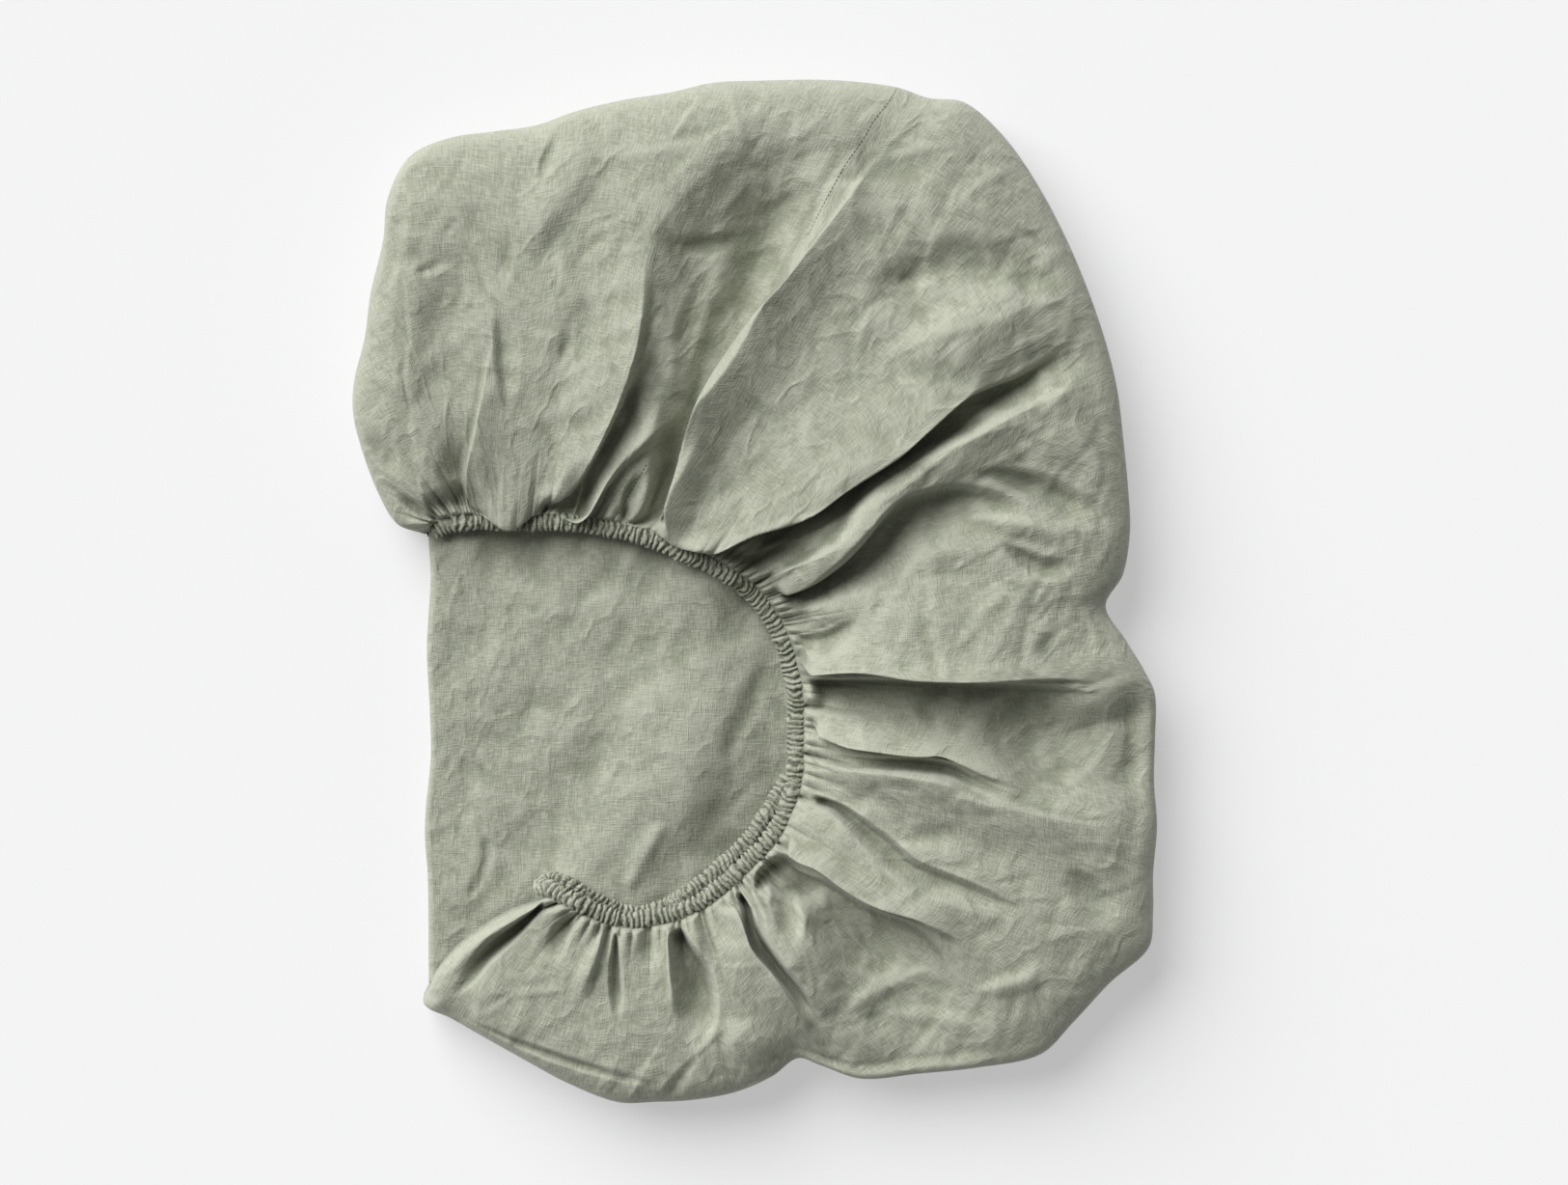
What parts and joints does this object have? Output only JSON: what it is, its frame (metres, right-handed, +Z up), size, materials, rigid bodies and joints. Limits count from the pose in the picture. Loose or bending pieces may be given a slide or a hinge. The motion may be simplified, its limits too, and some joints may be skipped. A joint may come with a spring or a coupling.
{
  "type": "crumpled fitted bed sheet",
  "caption": "Linen fitted bed sheet lying in a loose folded bundle, its gathered skirt puffed up around a ruched elastic edge that curves over the folded layers",
  "frame": {"origin": "on the table under the middle of the bundle's bounding box, at the underside of the cloth", "axes": "+Z is up from the table, +Y runs along the bundle's longer side towards its broad puffed end, +X towards its gathered side"},
  "size_m": [0.4178, 0.531, 0.0681],
  "materials": {
    "linen": "washed plain-weave linen, matt",
    "ruched_linen": "linen channel gathered over elastic, matt"
  },
  "bodies": {
    "root": {"fitted_sheet": "linen", "elastic_hem": "ruched_linen"}
  },
  "joints": []
}
